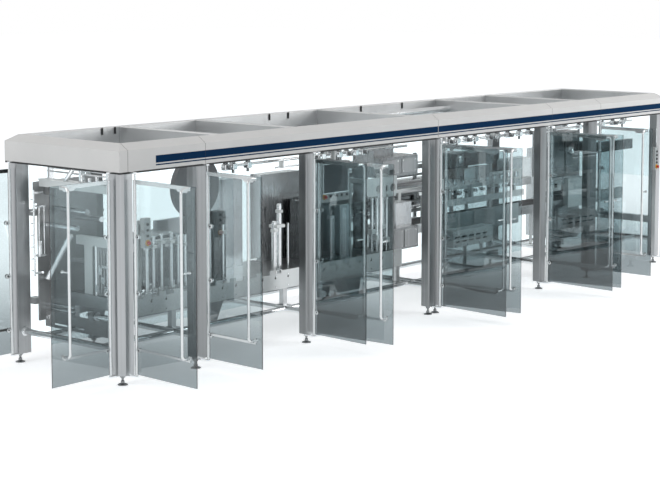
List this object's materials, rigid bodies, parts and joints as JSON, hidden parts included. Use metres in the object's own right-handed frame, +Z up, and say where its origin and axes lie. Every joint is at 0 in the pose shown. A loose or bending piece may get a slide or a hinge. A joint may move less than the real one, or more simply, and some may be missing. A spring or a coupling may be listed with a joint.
{
  "type": "flow wrap machine",
  "caption": "Long flow wrap packing line in a stainless frame with a ring canopy, open tinted glass doors, a notched bed, film reel, sealing stations and outfeed belt.",
  "frame": {"origin": "underside of the front left levelling foot, on the floor", "axes": "+X along the line from the film end to the discharge end, +Y from the door side to the back, +Z up"},
  "size_m": [10.6655, 2.7681, 2.326],
  "materials": {
    "brushed_stainless": "fine vertical brushed stainless sheet",
    "polished_steel": "polished stainless tube and turned parts",
    "machined_plate": "blasted light alloy plate",
    "door_metal": "satin anodised profile and polished handle tube",
    "door_glass": "grey-green tinted toughened glass",
    "guard_glass": "grey-green tinted toughened glass",
    "canopy_paint": "warm off-white powder coat",
    "canopy_inner_paint": "grey powder coat",
    "joint_black": "black sealing strip",
    "cabinet_steel": "satin stainless sheet",
    "dark_cabinet": "dark grey textured paint",
    "panel_grey": "light grey powder coat",
    "film": "wound packing film",
    "belt": "dark conveyor belting"
  },
  "bodies": {
    "machine": {"base_cross_tubes": "polished_steel", "base_long_tubes": "polished_steel", "bed_deck": "brushed_stainless", "bed_frame": "brushed_stainless", "bed_front_plate": "machined_plate", "button_box": "panel_grey", "button_strip": "panel_grey", "canopy_cross_beams": "canopy_inner_paint", "canopy_ends": "canopy_paint", "canopy_front": "canopy_paint", "canopy_joint_strips": "joint_black", "canopy_rear": "canopy_paint", "conveyor_belt": "belt", "conveyor_frame": "brushed_stainless", "corner_columns": "brushed_stainless", "discharge_chutes": "brushed_stainless", "drive_box": "machined_plate", "drive_guard": "cabinet_steel", "film_back_panel": "cabinet_steel", "film_reel": "film", "forming_cabinet": "dark_cabinet", "forming_portal": "machined_plate", "guard_clamps": "polished_steel", "guard_panes": "guard_glass", "guide_columns": "polished_steel", "guide_rollers": "polished_steel", "hinge_brackets": "polished_steel", "hmi_panel": "panel_grey", "inner_columns": "brushed_stainless", "levelling_feet": "polished_steel", "overhead_pipe": "polished_steel", "rear_cabinets": "cabinet_steel", "reel_stand": "cabinet_steel", "sealing_bracket": "machined_plate", "transfer_rails": "machined_plate"},
    "door_1": {"door_1_glass": "door_glass", "door_1_metalwork": "door_metal"},
    "door_2": {"door_2_glass": "door_glass", "door_2_metalwork": "door_metal"},
    "door_3": {"door_3_glass": "door_glass", "door_3_metalwork": "door_metal"},
    "door_4": {"door_4_glass": "door_glass", "door_4_metalwork": "door_metal"},
    "door_5": {"door_5_glass": "door_glass", "door_5_metalwork": "door_metal"},
    "door_6": {"door_6_glass": "door_glass", "door_6_metalwork": "door_metal"},
    "door_7": {"door_7_glass": "door_glass", "door_7_metalwork": "door_metal"},
    "door_8": {"door_8_glass": "door_glass", "door_8_metalwork": "door_metal"},
    "door_9": {"door_9_glass": "door_glass", "door_9_metalwork": "door_metal"},
    "door_10": {"door_10_glass": "door_glass", "door_10_metalwork": "door_metal"},
    "end_door_front": {"end_door_front_glass": "door_glass", "end_door_front_metalwork": "door_metal"},
    "end_door_rear": {"end_door_rear_glass": "door_glass", "end_door_rear_metalwork": "door_metal"}
  },
  "joints": [
    {"name": "door_1_hinge", "type": "hinge", "parent": "machine", "child": "door_1", "pos_m": [0.051, -0.147, 0], "axis": [0, 0, 1], "range_deg": [0, 92.7]},
    {"name": "door_2_hinge", "type": "hinge", "parent": "machine", "child": "door_2", "pos_m": [1.015, -0.147, 0], "axis": [0, 0, 1], "range_deg": [0, 91.5]},
    {"name": "door_3_hinge", "type": "hinge", "parent": "machine", "child": "door_3", "pos_m": [2.595, -0.147, 0], "axis": [0, 0, 1], "range_deg": [-86.4, 0]},
    {"name": "door_4_hinge", "type": "hinge", "parent": "machine", "child": "door_4", "pos_m": [2.665, -0.147, 0], "axis": [0, 0, 1], "range_deg": [0, 87]},
    {"name": "door_5_hinge", "type": "hinge", "parent": "machine", "child": "door_5", "pos_m": [4.772, -0.147, 0], "axis": [0, 0, 1], "range_deg": [-86, 0]},
    {"name": "door_6_hinge", "type": "hinge", "parent": "machine", "child": "door_6", "pos_m": [4.866, -0.147, 0], "axis": [0, 0, 1], "range_deg": [0, 82.4]},
    {"name": "door_7_hinge", "type": "hinge", "parent": "machine", "child": "door_7", "pos_m": [6.946, -0.147, 0], "axis": [0, 0, 1], "range_deg": [-87.2, 0]},
    {"name": "door_8_hinge", "type": "hinge", "parent": "machine", "child": "door_8", "pos_m": [7.016, -0.147, 0], "axis": [0, 0, 1], "range_deg": [0, 81.8]},
    {"name": "door_9_hinge", "type": "hinge", "parent": "machine", "child": "door_9", "pos_m": [8.116, -0.147, 0], "axis": [0, 0, 1], "range_deg": [0, 88.6]},
    {"name": "door_10_hinge", "type": "hinge", "parent": "machine", "child": "door_10", "pos_m": [9.687, -0.147, 0], "axis": [0, 0, 1], "range_deg": [-88, 0]},
    {"name": "end_door_front_hinge", "type": "hinge", "parent": "machine", "child": "end_door_front", "pos_m": [-0.125, 0.03, 0], "axis": [0, 0, 1], "range_deg": [-91.4, 0]},
    {"name": "end_door_rear_hinge", "type": "hinge", "parent": "machine", "child": "end_door_rear", "pos_m": [-0.125, 1.515, 0], "axis": [0, 0, 1], "range_deg": [0, 90]}
  ]
}
